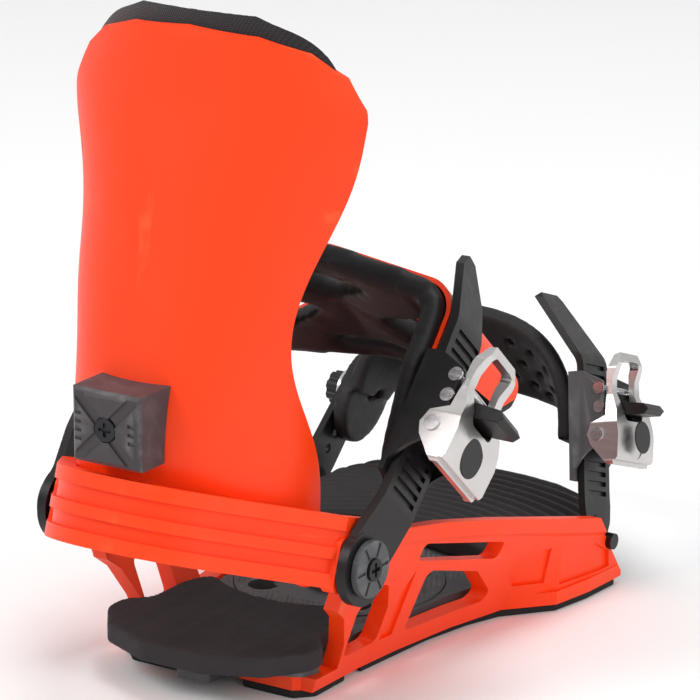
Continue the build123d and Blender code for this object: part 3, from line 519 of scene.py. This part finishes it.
def numbered(faces, base):
    """The faces of one repeated form, counted on from its first vertex."""
    return [tuple(base + corner for corner in face) for face in faces]


# metres: the length of one stitch with its gap, and half the width of the thread
STITCH_PITCH = 0.003
STITCH_HALF = 0.00035
STITCH_FACES = [(0, 1, 4), (1, 3, 4), (3, 2, 4), (2, 0, 4), (1, 0, 5), (3, 1, 5), (2, 3, 5), (0, 2, 5)]


def seam_path(side_steps=60, top_steps=20, foot_steps=8):
    """The seam's way round the padding, as distance across and height in mm."""
    low, high = PAD_OUTLINE[0][0] + SEAM_INSET, PAD_OUTLINE[-1][0] - SEAM_INSET
    heights = [low + (high - low) * k / side_steps for k in range(side_steps + 1)]
    side = [(between(PAD_OUTLINE, z)[0] - SEAM_INSET, z) for z in heights]
    foot, top = side[0][0], side[-1][0]
    over = [(top * (1 - 2 * k / top_steps), high) for k in range(1, top_steps)]
    under = [(-foot * (1 - 2 * k / foot_steps), low) for k in range(1, foot_steps)]
    return side + over + [(-x, z) for x, z in reversed(side)] + under + side[:1]


def seam_thread():
    """Short stitches that lie in the groove round the padding."""
    verts, faces = [], []
    path = seam_path()
    for (x0, z0), (x1, z1) in zip(path, path[1:]):
        first = pad_point(z0, x0, SEAM_LEVEL)
        last = pad_point(z1, x1, SEAM_LEVEL)
        run = last - first
        if run.length < STITCH_PITCH / 4:
            continue
        out = (pad_point(z0, x0, PAD_FULL) - first).normalized()
        wide = run.cross(out).normalized() * STITCH_HALF
        count = max(1, round(run.length / STITCH_PITCH))
        for k in range(count):
            a = first + run * ((k + 0.15) / count)
            b = first + run * ((k + 0.85) / count)
            middle = (a + b) / 2 + out * 0.0004
            faces += numbered(STITCH_FACES, len(verts))
            verts += [a, middle - wide, middle + wide, b, middle + out * 0.0003, middle - out * 0.0006]
    thread = mesh_object("highback_stitching", verts, faces, finishes["footbed_foam"])
    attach(thread, "highback")


def ankle_padding():
    """The ankle strap's padding: its edges softened, and swelled a little by air pressure."""
    piece = copy_of("ankle_strap_pad", "ankle_strap_padding")
    remesh(piece, 0.0022)
    smooth(piece, 3)
    puff(piece, 3.0, 0.0007)
    smooth(piece, 1)
    subdivide(piece, 1)
    all_smooth(piece)
    settle(piece, "ankle_strap_pad")


def toe_padding():
    """The perforated toe strap, with its holes kept and their edges softened."""
    piece = copy_of("toe_strap_pad", "toe_strap_padding")
    remesh(piece, 0.0011)
    smooth(piece, 3)
    all_smooth(piece)
    settle(piece, "toe_strap_pad")


highback_lining()
seam_thread()
ankle_padding()
toe_padding()


# ---------------------------------------------------------------- grip studs round the disc

# millimetres: the studs' spacing and height, and half a stud's width; then how many reach from the middle
STUD_PITCH, STUD_HEIGHT = 2.2, 0.7
STUD_HALF = STUD_PITCH * 0.46
STUD_REACH = 22
STUD_FACES = [(0, 1, 4), (1, 2, 4), (2, 3, 4), (3, 0, 4), (0, 3, 2, 1)]


def studs(name, body, slot, level, keep):
    """A field of small pyramids, as moulded on the plate and the disc."""
    verts, faces = [], []
    for i in range(-STUD_REACH, STUD_REACH + 1):
        for j in range(-STUD_REACH, STUD_REACH + 1):
            x, y = (i + 0.5 * (j % 2)) * STUD_PITCH, j * STUD_PITCH * 0.9
            if not keep(x, y):
                continue
            faces += numbered(STUD_FACES, len(verts))
            verts += [(x - STUD_HALF, y, level), (x, y - STUD_HALF, level), (x + STUD_HALF, y, level),
                      (x, y + STUD_HALF, level), (x, y, level + STUD_HEIGHT)]
    piece = mesh_object(name, [Vector(v) / 1000 for v in verts], faces, finishes[slot], False)
    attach(piece, body)


def on_plate(x, y):
    """The ring of the plate round the disc's opening, in mm."""
    return 40.5 < math.hypot(x, y) < 45.5 and abs(x) < 35


def on_disc(x, y):
    """The disc's outer ring, clear of its four bolts, in mm."""
    far_from_bolts = math.hypot(abs(x) - 20, abs(y) - 20) > 7.5
    return 25.5 < math.hypot(x, y) < 37 and far_from_bolts


studs("plate_studs", "chassis", "grey_nylon", 11.9, on_plate)
studs("disc_studs", "disc", "grey_nylon", 12.4, on_disc)


# ---------------------------------------------------------------- stage

def floor():
    """A wide sheet of pale paper."""
    m = Mat("studio_floor")
    tone = m.mix(m.noise(3.0, 3), (0.9, 0.9, 0.9), (0.94, 0.94, 0.94))
    paper = m.finish(tone, m.spread(m.noise(40, 3), 0.7, 0.85), None)
    half = 6.0
    corners = [(-half, -half, 0), (half, -half, 0), (half, half, 0), (-half, half, 0)]
    ground = mesh_object("studio_floor", corners, [(0, 1, 2, 3)], paper, False)


LIGHT_AIM = (0, 0, 0.1)


def area_light(name, place, size, power):
    """A round soft lamp, in metres and watts, turned to the middle of the object."""
    data = bpy.data.lights.new(name, "AREA")
    data.shape = "DISK"
    data.size = size
    data.energy = power
    lamp = bpy.data.objects.new(name, data)
    lamp.location = place
    lamp.rotation_euler = (Vector(LIGHT_AIM) - Vector(place)).to_track_quat("-Z", "Y").to_euler()
    bpy.context.scene.collection.objects.link(lamp)


def world_light():
    """Even white light from all round."""
    world = bpy.data.worlds.new("studio")
    bpy.context.scene.world = world
    world.use_nodes = True
    background = world.node_tree.nodes["Background"]
    background.inputs["Color"].default_value = (1.0, 1.0, 1.0, 1.0)
    background.inputs["Strength"].default_value = 0.62


def colour_view():
    """Plain colours, without a film curve."""
    bpy.context.scene.view_settings.view_transform = "Standard"


def camera():
    """A long lens, above and behind the heel and to one side."""
    data = bpy.data.cameras.new("camera")
    data.lens = 225.9
    data.sensor_width = 36.0
    data.clip_start = 0.05
    data.clip_end = 50.0
    view = bpy.data.objects.new("camera", data)
    place = Vector((0.82471, -1.25928, 0.55808))
    target = Vector((0.041583, -0.056927, 0.120974))
    view.location = place
    view.rotation_euler = (target - place).to_track_quat("-Z", "Y").to_euler()
    bpy.context.scene.collection.objects.link(view)
    bpy.context.scene.camera = view


floor()
world_light()
area_light("key", (-0.9, -1.3, 1.5), 0.9, 14.0)
area_light("fill", (1.6, -0.5, 0.9), 1.1, 9.0)
area_light("top", (0.1, 0.2, 1.8), 1.0, 12.0)
colour_view()
camera()
